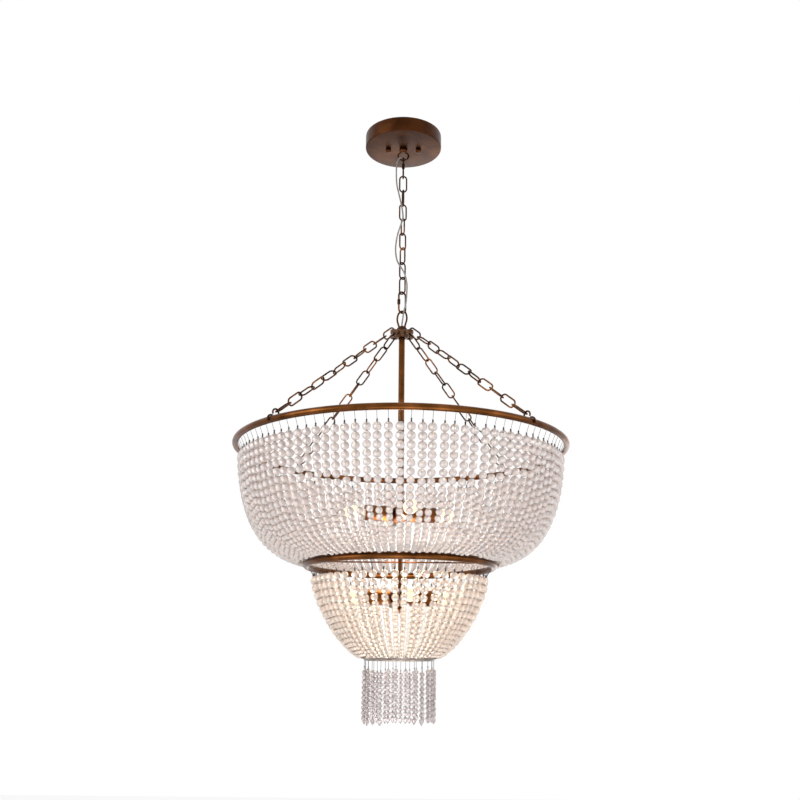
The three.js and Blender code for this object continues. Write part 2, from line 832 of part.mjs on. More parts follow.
// The route of the power cord's centre line, woven down the chain from the canopy to the hub
const cordRoute = [
  [0, 0, -1],
  [0, 0, -30],
  [0, 0, -39],
  [-3, -5, -47],
  [-10, -9, -55],
  [-13, -7, -67],
  [-13.5, -3, -90],
  [-12, -4, -110],
  [-8.5, -7.5, -128],
  [-4, -10.5, -150],
  [-1, -11, -167],
  [0, -11.5, -183],
  [-5, -9, -200],
  [-10, -5.5, -216],
  [-13.5, -3, -243],
  [-10.5, -7, -270],
  [-4, -10.5, -284],
  [3.5, -11.5, -298],
  [8.5, -10, -318],
  [8.5, -8.5, -338],
  [7, -7, -358],
  [3.5, -6.5, -373],
  [1.5, -4, -387],
  [0, -0.5, -397],
  [0, 0, -400],
  [0, 0, -405],
  [0, 0, -416],
];

function addCord() {
  const points = cordRoute.map(([x, y, z]) => new THREE.Vector3(x, y, z));
  const shape = bentWire(points, cord.diameter / 2, cord.sides, cord.steps);
  chandelier.add(piece("supply_cord", shape, clearJacket));
}

function addHub() {
  const loop = piece("hub_loop", makeHubLoop(), bronze);
  loop.rotation.z = degrees(hubLoopTurn);
  chandelier.add(loop);
  chandelier.add(piece("hub", makeHub(), darkBronze));
  chandelier.add(piece("stem_upper", makeUpperStem(), bronze));
  chandelier.add(piece("stem_lower", makeLowerStem(), bronze));
}

function addRings() {
  const ring = (size) => new THREE.TorusGeometry(size.radius, size.tube / 2, size.sides, size.segments);
  const top = piece("top_ring", ring(topRing), bronze);
  top.position.z = topRingHeight;
  const middle = piece("middle_ring", ring(middleRing), bronze);
  middle.position.z = middleRingHeight;
  const rod = piece("cross_rod", makeCrossRod(), darkBronze);
  rod.position.z = crossRodHeight;
  chandelier.add(top, middle, rod);
}

function addArmChains() {
  const pull = new THREE.Vector2(
    topRing.radius + curlCentre.x - lugWall,
    topRingHeight + curlCentre.y - lugCentre,
  );
  const along = pull.clone().normalize();
  const grip = Math.hypot(hub.lugHeight, (hub.lugDiameter - hub.lugHole) / 2) / 2 + clearance + link.wire / 2;
  const slack = hook.curlRadius - hook.wire / 2 - clearance - link.wire / 2;
  const start = new THREE.Vector2(lugWall, lugCentre).addScaledVector(along, -grip);
  const end = new THREE.Vector2(topRing.radius + curlCentre.x, topRingHeight + curlCentre.y);
  end.addScaledVector(along, -slack);
  const span = end.distanceTo(start);
  for (let i = 0; i < armChain.count; i += 1) {
    const arm = new THREE.Group();
    arm.rotation.z = degrees(armChain.firstAngle + (360 * i) / armChain.count);
    const chain = piece(`arm_chain_${i + 1}`, makeArmChain(span), darkBronze);
    chain.position.set(start.x, 0, start.y);
    chain.rotation.y = Math.atan2(start.x - end.x, start.y - end.y);
    const holder = piece(`ring_hook_${i + 1}`, makeHook(), darkBronze);
    holder.position.set(topRing.radius, 0, topRingHeight);
    arm.add(chain, holder);
    chandelier.add(arm);
  }
}

function addStrands() {
  const upper = bowlStations(upperBowl, upperStrand, topRing, topRingHeight);
  for (let i = 0; i < upperStrand.stretches; i += 1) {
    const row = makeStrands(upper, upperStrand, i);
    chandelier.add(piece(`upper_strands_${i + 1}`, row, frostedGlass));
  }
  const lower = bowlStations(lowerBowl, lowerStrand, middleRing, middleRingHeight);
  for (let i = 0; i < lowerStrand.stretches; i += 1) {
    const row = makeStrands(lower, lowerStrand, i);
    chandelier.add(piece(`lower_strands_${i + 1}`, row, creamGlass));
  }
  chandelier.add(piece("crystal_fringe", makeFringe(), clearCrystal));
}

function addLights() {
  for (const [tier, height] of [
    ["upper", upperClusterHeight],
    ["lower", lowerClusterHeight],
  ]) {
    const lights = new THREE.Group();
    lights.position.z = height;
    lights.rotation.z = degrees(cluster.turn);
    lights.add(piece(`${tier}_cluster`, makeClusterBody(), bronze));
    for (let i = 0; i < cluster.count; i += 1) {
      const arm = new THREE.Group();
      arm.rotation.z = degrees((360 * i) / cluster.count);
      const cup = piece(`${tier}_socket_${i + 1}`, makeSocket(), bronze);
      cup.position.x = socketStart;
      const lamp = piece(`${tier}_bulb_${i + 1}`, makeBulb(), bulbGlass);
      lamp.position.x = socketStart + socket.length - socket.depth + clearance;
      arm.add(cup, lamp);
      lights.add(arm);
    }
    chandelier.add(lights);
  }
  const tip = piece("finial", makeFinial(), bronze);
  tip.position.z = lowerClusterHeight - clusterHalf - clearance;
  chandelier.add(tip);
}

addCeilingEnd();
addMainChain();
addCord();
addHub();
addRings();
addArmChains();
addStrands();
addLights();

export default chandelier;
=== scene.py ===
# Dresses the beaded chandelier: real beads on their wires, smooth links and rings, lamps that glow,
# and the studio around it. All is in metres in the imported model's own frame, with +Z up.
import math
import random

import bpy
from mathutils import Matrix, Vector


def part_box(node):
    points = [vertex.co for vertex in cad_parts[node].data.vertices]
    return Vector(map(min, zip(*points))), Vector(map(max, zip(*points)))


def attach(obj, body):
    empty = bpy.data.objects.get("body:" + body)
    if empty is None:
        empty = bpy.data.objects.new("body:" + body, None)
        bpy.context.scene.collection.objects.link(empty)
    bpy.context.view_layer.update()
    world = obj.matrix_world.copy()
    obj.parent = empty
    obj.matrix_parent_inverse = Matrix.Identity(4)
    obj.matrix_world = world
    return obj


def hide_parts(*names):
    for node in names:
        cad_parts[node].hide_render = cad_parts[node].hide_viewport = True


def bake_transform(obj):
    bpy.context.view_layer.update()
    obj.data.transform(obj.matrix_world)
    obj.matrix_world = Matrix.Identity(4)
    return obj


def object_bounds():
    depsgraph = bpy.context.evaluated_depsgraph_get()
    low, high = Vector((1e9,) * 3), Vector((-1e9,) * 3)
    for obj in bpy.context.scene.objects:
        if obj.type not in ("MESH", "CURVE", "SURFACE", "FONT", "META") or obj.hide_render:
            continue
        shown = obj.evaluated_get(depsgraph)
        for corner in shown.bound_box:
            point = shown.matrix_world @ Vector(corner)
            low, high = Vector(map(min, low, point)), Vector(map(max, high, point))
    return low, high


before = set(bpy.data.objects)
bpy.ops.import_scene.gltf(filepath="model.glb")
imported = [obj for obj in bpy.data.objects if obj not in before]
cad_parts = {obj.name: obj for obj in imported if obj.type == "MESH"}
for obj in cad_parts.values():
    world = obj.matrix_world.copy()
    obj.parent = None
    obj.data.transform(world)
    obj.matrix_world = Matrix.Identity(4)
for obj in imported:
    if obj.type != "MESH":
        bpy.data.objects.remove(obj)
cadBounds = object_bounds()
dice = random.Random(11)
print("frame loaded:", len(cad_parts), "nodes")


# Colours and materials


def linear(hexColour, alpha=1.0):
    channels = [int(hexColour[i : i + 2], 16) / 255 for i in (1, 3, 5)]
    curve = [c / 12.92 if c <= 0.04045 else ((c + 0.055) / 1.055) ** 2.4 for c in channels]
    return (*curve, alpha)


def addNode(tree, kind, inputs=(), **settings):
    node = tree.nodes.new(kind)
    for key, value in settings.items():
        setattr(node, key, value)
    for key, value in dict(inputs).items():
        if isinstance(value, bpy.types.NodeSocket):
            tree.links.new(value, node.inputs[key])
        else:
            node.inputs[key].default_value = value
    return node


def newMaterial(name, **uniform):
    material = bpy.data.materials.new(name)
    material.use_nodes = True
    shader = material.node_tree.nodes["Principled BSDF"]
    for key, value in uniform.items():
        shader.inputs[key.replace("_", " ")].default_value = value
    return material, material.node_tree, shader


def patches(tree, size, detail=3.0, distortion=0.0):
    place = addNode(tree, "ShaderNodeTexCoord").outputs["Object"]
    inputs = {"Vector": place, "Scale": 1 / size, "Detail": detail, "Distortion": distortion}
    return addNode(tree, "ShaderNodeTexNoise", inputs).outputs["Fac"]


def ramp(tree, factor, *stops):
    node = addNode(tree, "ShaderNodeValToRGB", {"Fac": factor})
    elements = node.color_ramp.elements
    while len(elements) < len(stops):
        elements.new(0.5)
    for element, (position, colour) in zip(elements, stops):
        element.position = position
        element.color = colour
    return node.outputs["Color"]


def grey(value):
    return (value, value, value, 1.0)


def bump(tree, height, distance):
    inputs = {"Height": height, "Distance": distance, "Strength": 1.0}
    return addNode(tree, "ShaderNodeBump", inputs).outputs["Normal"]


def antiqueBronze(name, dark, middle, light, roughness):
    material, tree, shader = newMaterial(name, Metallic=1.0)
    wearAndHighlight = patches(tree, 0.045, 4.0, 0.6)  # rubbed patches are a palm's width, 40 to 50 mm: real wear, and also painted highlight
    speckle = patches(tree, 0.0016, 2.0)  # the brushed grain is about 0.1 mm, drawn 1.6 mm to show
    inputs = {0: speckle, 1: 0.16, 2: -0.08}  # the grain moves the wear and painted highlight by 0.08 either way
    fine = addNode(tree, "ShaderNodeMath", inputs, operation="MULTIPLY_ADD").outputs[0]
    both = addNode(tree, "ShaderNodeMath", {0: wearAndHighlight, 1: fine}, operation="ADD").outputs[0]
    colour = ramp(tree, both, (0.3, linear(dark)), (0.5, linear(middle)), (0.7, linear(light)))
    tree.links.new(colour, shader.inputs["Base Color"])
    gloss = ramp(tree, speckle, (0.3, grey(roughness - 0.04)), (0.7, grey(roughness + 0.06)))
    tree.links.new(gloss, shader.inputs["Roughness"])
    tree.links.new(bump(tree, speckle, 0.00002), shader.inputs["Normal"])
    return material


def plainMetal(name, dark, light, roughness, grain):
    material, tree, shader = newMaterial(name, Metallic=0.95, Roughness=roughness)
    colour = ramp(tree, patches(tree, grain, 4.0), (0.35, linear(dark)), (0.65, linear(light)))
    tree.links.new(colour, shader.inputs["Base Color"])
    return material


def beadGlass(name, shade, middle, light, **uniform):
    material, tree, shader = newMaterial(name, **uniform)
    swirl = patches(tree, 0.0055, 3.0, 1.6)  # swirls 5 to 6 mm long, two or three in a 14 mm bead
    colour = ramp(tree, swirl, (0.32, linear(shade)), (0.5, linear(middle)), (0.66, linear(light)))
    tree.links.new(colour, shader.inputs["Base Color"])
    pits = patches(tree, 0.0009, 2.0)  # tumbling pits of 0.05 mm, drawn 0.9 mm to show
    tree.links.new(bump(tree, pits, 0.00003), shader.inputs["Normal"])
    return material


def lampGlass(name, glow, strength):
    material, tree, shader = newMaterial(name, Roughness=0.25, Emission_Strength=strength)
    warm = patches(tree, 0.03, 1.0)  # the glow changes over half a lamp's length, 30 mm
    colour = ramp(tree, warm, (0.3, linear(glow)), (0.7, linear("#fff5e4")))
    tree.links.new(colour, shader.inputs["Emission Color"])
    tree.links.new(colour, shader.inputs["Base Color"])
    return material


def clearPlastic(name):
    material, tree, shader = newMaterial(name, Roughness=0.2, Transmission_Weight=0.45, IOR=1.45)
    haze = patches(tree, 0.01)  # cloudy stretches about 10 mm long
    colour = ramp(tree, haze, (0.3, linear("#a5a29e")), (0.7, linear("#c6c3bf")))
    tree.links.new(colour, shader.inputs["Base Color"])
    return material


def crystalGlass(name):
    material, tree, shader = newMaterial(name, Roughness=0.06, Transmission_Weight=0.6, IOR=1.54)
    paintedSparkle = patches(tree, 0.004, 2.0)  # painted sparkle: light and dark patches the size of facets, 3 to 4 mm across
    colour = ramp(tree, paintedSparkle, (0.3, linear("#cfc4c4")), (0.7, linear("#ece4e4")))
    tree.links.new(colour, shader.inputs["Base Color"])
    return material


# Steel tube and turned steel, plated and lacquered antique bronze: dark brown, rubbed through by
# hand to orange brown in soft patches, which also stand as painted highlights running along it
bronze = antiqueBronze("brushed antique bronze", "#48270f", "#623b1b", "#7e4c28", 0.3)
# The same finish left darker and duller on the pressed steel canopy and its screws
darkBronze = antiqueBronze("dark antique bronze", "#351c0d", "#4a2913", "#603a1e", 0.38)
# Bent steel wire that rubs bright brown where links touch; its bright brown patches are also
# painted highlights, the orange glints of lit links
chainBronze = antiqueBronze("rubbed bronze wire with painted highlights", "#2c190c", "#4b2c17", "#8e5a2d", 0.3)
# Turned steel nuts of the quick links, nearly black where no hand rubs them; their lighter patches
# are also painted highlight
nutBronze = antiqueBronze("blackened bronze nut", "#1d1410", "#2c1f19", "#433026", 0.42)
# A zinc casting under the lacquer: paler, greyer and blunter than the tube
hubBronze = antiqueBronze("cast antique bronze", "#4a3324", "#6b4f3c", "#8d7060", 0.42)
# Bright zinc plating on pressed steel, pale blue grey with faint clouds about 6 mm wide
zincSteel = plainMetal("zinc plated steel", "#9fa2a6", "#c9cccf", 0.35, 0.006)
# Drawn steel wire left bare: dull, and dark against the white beads
pinSteel = plainMetal("dull grey wire", "#2f2926", "#5c5551", 0.4, 0.003)
# Silvered wire of the lowest ring, which lets it almost vanish over the crystals
ringSteel = plainMetal("silvered ring wire", "#7d746f", "#b5ada8", 0.3, 0.003)
# Tinned copper wires, a silver twist inside the clear jacket
conductor = plainMetal("tinned copper strands", "#6f6b66", "#a8a49e", 0.35, 0.002)
# Nickel plated brass of a lamp's cap
capNickel = plainMetal("nickel lamp cap", "#b3afa6", "#dcd8cf", 0.3, 0.002)
# Pressed alabaster glass, tumbled to a satin skin: milky with cloudy swirls, pinkish where light
# comes through, and never quite dark between two beads
alabaster = beadGlass(
    "frosted alabaster glass",
    "#e4d8d3",
    "#f0e5e2",
    "#f8f1ef",
    Roughness=0.18,
    Transmission_Weight=0.52,
    Subsurface_Weight=0.6,
    Subsurface_Scale=0.011,
    Subsurface_Radius=(1.0, 0.86, 0.78),
    Coat_Weight=0.3,
)
# Fire polished glass with a pearl lustre, clearer and glossier than the upper beads: the lamps
# behind it turn it to warm cream
cream = beadGlass(
    "cream pearl glass",
    "#f3e1d4",
    "#f8ebe1",
    "#fdf5ee",
    Roughness=0.08,
    Transmission_Weight=0.66,
    Subsurface_Weight=0.5,
    Subsurface_Scale=0.009,
    Subsurface_Radius=(1.0, 0.82, 0.68),
    Coat_Weight=0.5,
)
# Cut and polished lead crystal, clear; its cool lilac grey is painted reflection, standing for its
# many inner reflections
crystal = crystalGlass("clear cut crystal")
# Soft clear PVC, a little clouded, over two silver wires
jacket = clearPlastic("clear cord jacket")
# Blown glass, etched inside, lit by its filament: an even warm glow, whiter at the middle
lamp = lampGlass("glowing frosted lamp glass", "#ffdcb2", 0.58)
print("materials made")


# Shapes

clearance = 0.0003  # air between two pieces that touch on the real object
smallTurning = 40  # facets around a turned part of 10 to 30 mm
loopSides = 14  # facets around the thicker wires
linkSides = 12
pinSides = 5


class Shape:
    def __init__(self, *materials):
        self.points = []
        self.faces = []
        self.slots = []
        self.materials = materials

    def add(self, part, place=None, slot=0):
        points, faces = part
        start = len(self.points)
        self.points += [place @ Vector(p) for p in points] if place else points
        self.faces += [[start + corner for corner in face] for face in faces]
        self.slots += [slot] * len(faces)

    def piece(self, name, body, replaced, slotName, crease=35):
        mesh = bpy.data.meshes.new(name)
        mesh.from_pydata(self.points, [], self.faces)
        for material in self.materials:
            mesh.materials.append(material)
        mesh.polygons.foreach_set("material_index", self.slots)
        mesh.shade_smooth()
        mesh.set_sharp_from_angle(angle=math.radians(crease))
        mesh.update()
        made = bpy.data.objects.new(name, mesh)
        bpy.context.scene.collection.objects.link(made)
        if body:
            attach(made, body)
        if replaced:
            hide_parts(*replaced)
        return made


def circle(radius, sides, height=0.0):
    turns = [2 * math.pi * i / sides for i in range(sides)]
    return [(radius * math.cos(turn), radius * math.sin(turn), height) for turn in turns]


# Turns a profile about the vertical. A closed one also joins its last corner to its first
def turned(profile, segments, closed=False):
    points = []
    columns = []
    for radius, height in profile:
        ring = circle(radius, segments, height) if radius else [(0, 0, height)]
        columns.append([len(points) + i for i in range(len(ring))])
        points += ring
    pairs = list(zip(columns, columns[1:]))
    if closed:
        pairs.append((columns[-1], columns[0]))
    faces = []
    for low, high in pairs:
        for i in range(segments):
            j = (i + 1) % segments
            under = [low[i % len(low)], low[j % len(low)]]
            over = [high[j % len(high)], high[i % len(high)]]
            faces.append(list(dict.fromkeys(under + over)))  # a point on the axis counts once
    return points, faces


# Rounds the corners of a profile
def softened(profile, radius, steps=3, closed=False):
    corners = [Vector(p) for p in profile]
    count = len(corners)
    made = []
    for i, corner in enumerate(corners):
        if not closed and i in (0, count - 1):
            made.append(tuple(corner))
            continue
        before = corners[i - 1] - corner
        after = corners[(i + 1) % count] - corner
        start = corner + before.normalized() * min(radius, before.length * 0.45)
        end = corner + after.normalized() * min(radius, after.length * 0.45)
        for k in range(steps + 1):
            t = k / steps
            made.append(tuple(start * (1 - t) ** 2 + corner * 2 * t * (1 - t) + end * t * t))
    return made


# Round wire along a path, with one radius or one for each point
def swept(path, radius, sides, closed=False):
    path = [Vector(p) for p in path]
    count = len(path)
    radii = radius if isinstance(radius, list) else [radius] * count
    points = []
    faces = []
    normal = None
    tangent = None
    for i, centre in enumerate(path):
        ahead = path[(i + 1) % count] if closed or i < count - 1 else centre
        behind = path[i - 1] if closed or i else centre
        along = (ahead - behind).normalized()
        if normal is None:
            normal = along.orthogonal().normalized()
        else:
            normal = tangent.rotation_difference(along) @ normal
        tangent = along
        side = along.cross(normal)
        for x, y, _ in circle(radii[i], sides):
            points.append(centre + normal * x + side * y)
    for i in range(count if closed else count - 1):
        here = i * sides
        there = (i + 1) % count * sides
        for k in range(sides):
            j = (k + 1) % sides
            faces.append([here + k, here + j, there + j, there + k])
    if not closed:
        faces.append(list(reversed(range(sides))))
        faces.append([(count - 1) * sides + k for k in range(sides)])
    return points, faces


# A smooth curve through points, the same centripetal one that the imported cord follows
def through(route, perSpan):
    route = [Vector(p) for p in route]
    first = route[0] * 2 - route[1]
    last = route[-1] * 2 - route[-2]
    padded = [first, *route, last]
    made = []
    for a, b, c, d in zip(padded, padded[1:], padded[2:], padded[3:]):
        gaps = [math.sqrt((q - p).length) for p, q in ((a, b), (b, c), (c, d))]
        leave = (b - a) / gaps[0] - (c - a) / (gaps[0] + gaps[1]) + (c - b) / gaps[1]
        arrive = (c - b) / gaps[1] - (d - b) / (gaps[1] + gaps[2]) + (d - c) / gaps[2]
        leave *= gaps[1]
        arrive *= gaps[1]
        for k in range(perSpan):
            t = k / perSpan
            cubic = (b - c) * 2 + leave + arrive
            square = (c - b) * 3 - leave * 2 - arrive
            made.append(b + leave * t + square * t * t + cubic * t**3)
    made.append(route[-1])
    return made


def arc(centre, radius, start, end, steps):
    turns = [math.radians(start + (end - start) * i / steps) for i in range(steps + 1)]
    x, z = centre
    return [Vector((x + radius * math.cos(t), 0, z + radius * math.sin(t))) for t in turns]


def upright(height, turn=0.0):
    return Matrix.Translation((0, 0, height)) @ Matrix.Rotation(math.radians(turn), 4, "Z")


def turnedAbout(degrees):
    return Matrix.Rotation(math.radians(degrees), 4, "Z")


def lowAndHigh(node):
    low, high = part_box(node)
    return low[2], high[2]


def paint(node, material):
    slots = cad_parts[node].data.materials
    slots.clear()
    slots.append(material)


# Ceiling end

canopyCup = {"radius": 0.075, "height": 0.028, "wall": 0.0016, "hole": 0.0053, "edge": 0.0022}
knob = {"offset": 0.03, "radius": 0.0055, "height": 0.007, "stud": 0.002, "edge": 0.0008}
canopyLoop = {
    "width": 0.024,
    "wire": 0.0035,
    "height": 0.0072,
    "collar": 0.008,
    "bevel": 0.003,
    "thread": 0.0053,
    "bore": 0.0019,
    "plate": 0.0029,
    "edge": 0.0006,
    "steps": 48,
}


def makeCanopyCup():
    outer = canopyCup["radius"]
    inner = outer - canopyCup["wall"]
    hole = canopyCup["hole"]
    under = -canopyCup["height"]
    plate = under + canopyCup["wall"]
    profile = [(hole, under), (outer, under), (outer, 0), (inner, 0), (inner, plate), (hole, plate)]
    made = Shape(darkBronze)
    cup = turned(softened(profile, canopyCup["edge"], 4, closed=True), 128, closed=True)
    made.add(cup)
    made.piece("canopy_cup", "canopy", ["canopy"], "dark_bronze")


def makeKnobs():
    r = knob["radius"]
    for side, name in ((-1, "left"), (1, "right")):
        low, high = lowAndHigh("canopy_screw_" + name)
        face = low + knob["height"]
        head = [
            (0, low),
            (r * 0.62, low + r * 0.08),
            (r, low + r * 0.5),
            (r, low + knob["height"] * 0.86),
            (r * 0.86, face),
            (knob["stud"], face),
            (knob["stud"], high),
            (0, high),
        ]
        made = Shape(darkBronze)
        place = Matrix.Translation((side * knob["offset"], 0, 0))
        made.add(turned(softened(head, knob["edge"]), smallTurning), place)
        made.piece("canopy_knob_" + name, "canopy", ["canopy_screw_" + name], "dark_bronze")


def makeCanopyLoop():
    low, high = lowAndHigh("canopy_loop")
    bottom = high - canopyLoop["height"]
    plate = bottom + canopyLoop["plate"]
    outer = canopyLoop["collar"]
    thread = canopyLoop["thread"]
    bore = canopyLoop["bore"]
    collar = [
        (bore, bottom),
        (outer * 0.72, bottom),
        (outer, bottom + canopyLoop["bevel"]),
        (outer, high),
        (thread, high),
        (thread, plate),
        (bore, plate),
    ]
    wire = canopyLoop["wire"] / 2
    reach = canopyLoop["width"] / 2 - wire
    top = plate - clearance - wire
    middle = (top + low + wire) / 2
    foot = math.asin((bore + wire + clearance) / reach)
    steps = canopyLoop["steps"]
    turns = [foot + (2 * math.pi - 2 * foot) * i / steps for i in range(steps + 1)]
    oval = [(reach * math.sin(t), 0, middle + (top - middle) * math.cos(t)) for t in turns]
    made = Shape(darkBronze)
    rounded = softened(collar, canopyLoop["edge"], 2, closed=True)
    made.add(turned(rounded, smallTurning, closed=True))
    made.add(swept(oval, wire, loopSides))
    made.piece("canopy_oval", "canopy", ["canopy_loop"], "dark_bronze")


makeCanopyCup()
makeKnobs()
makeCanopyLoop()
paint("crossbar", zincSteel)
paint("nipple", zincSteel)
print("ceiling end made")


# Main chain

link = {"length": 0.037, "width": 0.0165, "wire": 0.003, "weld": 0.12, "bendSteps": 14}
linkTurns = [5, 100, 20, 115, 35, 130, 40, 140]
quickLink = {
    "length": 0.046,
    "width": 0.019,
    "wire": 0.0035,
    "gap": 0.005,
    "turns": (90, 35),
    "bendSteps": 16,
}
sleeve = {"length": 0.01, "radius": 0.0033, "bore": 0.00205, "edge": 0.0007}


# Half circles joined by straight legs, with a small butt weld half way down one leg
def chainLoop(length):
    wire = link["wire"]
    weld = link["weld"]
    bend = (link["width"] - wire) / 2
    span = length - wire
    top = arc((0, -bend), bend, 0, 180, link["bendSteps"])
    bottom = arc((0, bend - span), bend, 180, 360, link["bendSteps"])
    leg = [(0.3, 0), (0.44, 0), (0.48, weld), (0.52, weld), (0.56, 0), (0.7, 0)]
    left = [top[-1].lerp(bottom[0], share) for share, _ in leg]
    right = [bottom[-1].lerp(top[0], share) for share, _ in leg]
    path = top + left + bottom + right
    radii = [wire / 2] * len(path)
    for i, (_, rise) in enumerate(leg):
        radii[len(top) + i] *= 1 + rise
    return path, radii


def makeQuickLink(node, sleeveNode, turn):
    bottom, top = lowAndHigh(sleeveNode)
    half = (quickLink["width"] - quickLink["wire"]) / 2
    bend = (quickLink["length"] - quickLink["wire"]) / 2 - half
    mouth = quickLink["gap"] / 2
    upper = arc((0, bend), half, 180, 0, quickLink["bendSteps"])
    lower = arc((0, -bend), half, 0, -180, quickLink["bendSteps"])
    path = [Vector((-half, 0, mouth)), *upper, *lower, Vector((-half, 0, -mouth))]
    place = upright((bottom + top) / 2, turn)
    made = Shape(chainBronze)
    made.add(swept(path, quickLink["wire"] / 2, loopSides), place)
    made.piece(node + "_wire", node, [node], "dark_bronze")
    end = sleeve["length"] / 2
    outer = sleeve["radius"]
    bore = sleeve["bore"]
    nut = [(bore, -end), (outer, -end), (outer, end), (bore, end)]
    hexagon = turned(softened(nut, sleeve["edge"], 2, closed=True), 6, closed=True)
    made = Shape(nutBronze)
    made.add(hexagon, place @ Matrix.Translation((-half, 0, 0)))
    made.piece(node + "_nut", sleeveNode, [sleeveNode], "dark_bronze", crease=25)


def makeMainChain():
    makeQuickLink("chain_link_1", "chain_link_1_sleeve", quickLink["turns"][0])
    path, radii = chainLoop(link["length"])
    for i, turn in enumerate(linkTurns):
        node = f"chain_link_{i + 2}"
        top = lowAndHigh(node)[1] - link["wire"] / 2
        made = Shape(chainBronze)
        made.add(swept(path, radii, linkSides, closed=True), upright(top, turn))
        made.piece(node + "_wire", node, [node], "dark_bronze")
    makeQuickLink("quick_link", "quick_link_sleeve", quickLink["turns"][1])


makeMainChain()
print("main chain made")


# The power cord. Each stretch runs from the middle of one link to the middle of the next, so that
# the one joint between them bends it

cord = {
    "radius": 0.0015,
    "core": 0.00045,
    "coreOffset": 0.00055,
    "coreSides": 6,
    "sides": 12,
    "pitch": 0.016,
    "soft": 0.008,
    "steps": 10,
}
cordRoute = [
    (0, 0, -0.001),
    (0, 0, -0.03),
    (0, 0, -0.039),
    (-0.003, -0.005, -0.047),
    (-0.01, -0.009, -0.055),
    (-0.013, -0.007, -0.067),
    (-0.0135, -0.003, -0.09),
    (-0.012, -0.004, -0.11),
    (-0.0085, -0.0075, -0.128),
    (-0.004, -0.0105, -0.15),
    (-0.001, -0.011, -0.167),
    (0, -0.0115, -0.183),
    (-0.005, -0.009, -0.2),
    (-0.01, -0.0055, -0.216),
    (-0.0135, -0.003, -0.243),
    (-0.0105, -0.007, -0.27),
    (-0.004, -0.0105, -0.284),
    (0.0035, -0.0115, -0.298),
    (0.0085, -0.01, -0.318),
    (0.0085, -0.0085, -0.338),
    (0.007, -0.007, -0.358),
    (0.0035, -0.0065, -0.373),
    (0.0015, -0.004, -0.387),
    (0, -0.0005, -0.397),
    (0, 0, -0.4),
    (0, 0, -0.405),
    (0, 0, -0.416),
]


def makeCord():
    path = through(cordRoute, cord["steps"])
    links = [f"chain_link_{i + 1}" for i in range(len(linkTurns) + 1)]
    chain = ["canopy", *links, "quick_link", "fixture"]
    middles = [sum(lowAndHigh(node)) / 2 for node in chain[1:-1]]
    cuts = [path[0].z + cord["radius"], *middles, path[-1].z - cord["radius"]]
    walked = 0.0
    rows = []
    for before, point in zip([path[0], *path], path):
        walked += (point - before).length
        rows.append((point, walked * 2 * math.pi / cord["pitch"]))
    for i, (parent, child) in enumerate(zip(chain, chain[1:])):
        inside = [k for k, (point, _) in enumerate(rows) if cuts[i + 1] <= point.z <= cuts[i]]
        first = max(inside[0] - 1, 0)
        stretch = rows[first : inside[-1] + 2]
        made = Shape(jacket, conductor)
        made.add(swept([point for point, _ in stretch], cord["radius"], cord["sides"]))
        for side in (0, math.pi):
            core = []
            for point, turn in stretch:
                spread = Vector((math.cos(turn + side), math.sin(turn + side), 0))
                core.append(point + spread * cord["coreOffset"])
            made.add(swept(core, cord["core"], cord["coreSides"]), slot=1)
        replaced = ["supply_cord"] if i == 0 else []
        piece = made.piece(f"cord_{i + 1}", None, replaced, "clear_jacket")
        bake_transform(piece)


makeCord()
print("cord made")


# Hub and stem

hubLoop = {
    "width": 0.0233,
    "height": 0.03,
    "foot": 0.0055,
    "wire": 0.0035,
    "turn": -25,
    "steps": 6,
}
dome = {"radius": 0.01, "height": 0.009, "bore": 0.0019, "rim": 0.0017, "edge": 0.0008}
hub = {
    "core": 0.0135,
    "bevel": 0.0035,
    "shoulder": 0.002,
    "edge": 0.0009,
    "lugReach": 0.0195,
    "lug": 0.008,
    "eye": 0.0032,
    "lugHeight": 0.0074,
    "lugEdge": 0.0016,
}
stem = {"radius": 0.00575, "bore": 0.0035, "socket": 0.009, "edge": 0.0005}
armCount = 4
armTurns = [45 + 360 * i / armCount for i in range(armCount)]


def makeHubLoop():
    apex = lowAndHigh("hub_loop")[1] - hubLoop["wire"] / 2
    top = apex - hubLoop["height"]
    low = top - dome["height"]
    base = low + dome["height"] / 2
    rise = apex - base
    half = hubLoop["width"] / 2 - hubLoop["wire"] / 2
    foot = hubLoop["foot"]
    right = [
        (foot, 0),
        (foot + (half - foot) * 0.35, rise * 0.2),
        (half * 0.98, rise * 0.47),
        (half * 0.97, rise * 0.68),
        (half * 0.66, rise * 0.91),
    ]
    outline = [*right, (0, rise), *[(-x, z) for x, z in reversed(right)]]
    pear = through([(x, 0, base + z) for x, z in outline], hubLoop["steps"])
    r = dome["radius"]
    bore = dome["bore"]
    cap = [
        (bore, low),
        (r, low),
        (r, low + dome["height"] * 0.3),
        (r * 0.78, low + dome["height"] * 0.72),
        (bore + dome["rim"], top),
        (bore, top),
    ]
    made = Shape(darkBronze)
    made.add(swept(pear, hubLoop["wire"] / 2, loopSides), turnedAbout(hubLoop["turn"]))
    made.add(turned(softened(cap, dome["edge"], closed=True), smallTurning, closed=True))
    made.piece("hub_pear_loop", "fixture", ["hub_loop"], "bronze")


def makeHubBody():
    low, high = lowAndHigh("hub")
    core = hub["core"]
    seat = stem["radius"] + clearance
    top = low + stem["socket"]
    body = [
        (seat, low),
        (core * 0.76, low),
        (core, low + hub["bevel"]),
        (core, high - hub["shoulder"]),
        (core * 0.85, high),
        (dome["bore"], high),
        (dome["bore"], top),
        (seat, top),
    ]
    half = hub["lugHeight"] / 2
    ring = [(hub["eye"], -half), (hub["lug"], -half), (hub["lug"], half), (hub["eye"], half)]
    eye = turned(softened(ring, hub["lugEdge"], 4, closed=True), 32, closed=True)
    made = Shape(hubBronze)
    made.add(turned(softened(body, hub["edge"], closed=True), 48, closed=True))
    for turn in armTurns:
        lug = Matrix.Translation((hub["lugReach"], 0, (low + high) / 2))
        made.add(eye, turnedAbout(turn) @ lug)
    made.piece("hub_body", "fixture", ["hub"], "dark_bronze")


